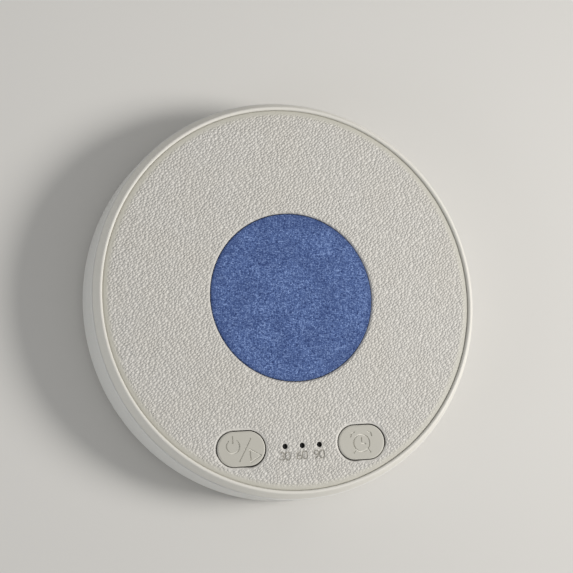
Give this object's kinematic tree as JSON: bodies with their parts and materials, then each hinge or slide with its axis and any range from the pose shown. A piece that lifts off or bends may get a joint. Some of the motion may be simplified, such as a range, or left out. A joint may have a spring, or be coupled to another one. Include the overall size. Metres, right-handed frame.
{
  "type": "pillow speaker",
  "caption": "Slim round under-pillow speaker with a leatherette face, a cloth-covered speaker opening, press keys, timer lamps and a charging socket.",
  "frame": {"origin": "middle of the round footprint, on the surface that the rubber feet stand on", "axes": "+Z out of the front face, -Y from the middle towards the keys and the charging socket, +X towards the timer key"},
  "size_m": [0.09, 0.09, 0.0153],
  "materials": {
    "shell_grey": "satin moulded, light neutral grey",
    "frame_greige": "satin moulded, warm greige",
    "pad_leather": "pebble-grained leatherette, greige",
    "denim_cloth": "mottled blue woven cloth",
    "grille_black": "fine moulded texture",
    "key_greige": "smooth satin",
    "switch_black": "moulded",
    "plunger_grey": "moulded",
    "smoked_guide": "clear smoked moulding",
    "lamp_white": "cast resin",
    "board_green": "solder mask",
    "chip_black": "moulded resin",
    "bright_steel": "drawn and plated",
    "capacitor_tan": "sintered with tinned ends",
    "socket_ivory": "moulded nylon",
    "lead_red": "insulated wire",
    "lead_black": "insulated wire",
    "pouch_foil": "laminated foil pouch",
    "guard_blue": "solder mask",
    "tape_white": "double-sided tape",
    "basket_black": "painted pressed steel",
    "plated_steel": "zinc plated",
    "magnet_nickel": "nickel plated",
    "coil_copper": "enamelled copper wire",
    "cone_paper": "pressed pulp, black",
    "surround_rubber": "soft moulded",
    "terminal_brown": "pressed paper board with tinned lugs",
    "foam_black": "closed-cell foam",
    "foot_rubber": "soft grey rubber"
  },
  "bodies": {
    "case": {"rear_shell": "shell_grey", "front_frame": "frame_greige", "front_pad": "pad_leather", "speaker_cloth": "denim_cloth", "grille_plate": "grille_black", "power_switch": "switch_black", "timer_switch": "switch_black", "light_guide": "smoked_guide", "lamp_30": "lamp_white", "lamp_60": "lamp_white", "lamp_90": "lamp_white", "main_board": "board_green", "sound_chip": "chip_black", "amplifier_chip": "chip_black", "memory_chip": "chip_black", "clock_crystal": "bright_steel", "capacitors": "capacitor_tan", "charge_port_shell": "bright_steel", "charge_port_tongue": "chip_black", "battery_socket": "socket_ivory", "battery_plug": "socket_ivory", "battery_lead_red": "lead_red", "battery_lead_black": "lead_black", "speaker_lead_red": "lead_red", "speaker_lead_black": "lead_black", "battery_cell": "pouch_foil", "battery_guard_board": "guard_blue", "battery_tape": "tape_white", "driver_frame": "basket_black", "driver_yoke": "plated_steel", "driver_magnet": "magnet_nickel", "driver_pole_plate": "plated_steel", "cone_surround": "surround_rubber", "driver_terminals": "terminal_brown", "driver_gasket": "foam_black", "magnet_pad": "foam_black", "case_screws": "plated_steel", "board_screws": "plated_steel", "rubber_feet": "foot_rubber"},
    "power_key": {"power_key": "key_greige", "power_plunger": "plunger_grey"},
    "timer_key": {"timer_key": "key_greige", "timer_plunger": "plunger_grey"},
    "cone": {"cone": "cone_paper", "dust_cap": "cone_paper", "voice_coil": "coil_copper"}
  },
  "joints": [
    {"name": "power_key_press", "type": "slide", "parent": "case", "child": "power_key", "axis": [0, 0, -1], "range_m": [0, 0.00035], "stiffness_N_per_m": 4500, "springref_m": -0.0001},
    {"name": "timer_key_press", "type": "slide", "parent": "case", "child": "timer_key", "axis": [0, 0, -1], "range_m": [0, 0.00035], "stiffness_N_per_m": 4500, "springref_m": -0.0001},
    {"name": "cone_stroke", "type": "slide", "parent": "case", "child": "cone", "axis": [0, 0, 1], "range_m": [-0.0005, 0.0005], "stiffness_N_per_m": 1500, "deforming": ["cone_surround"]}
  ]
}
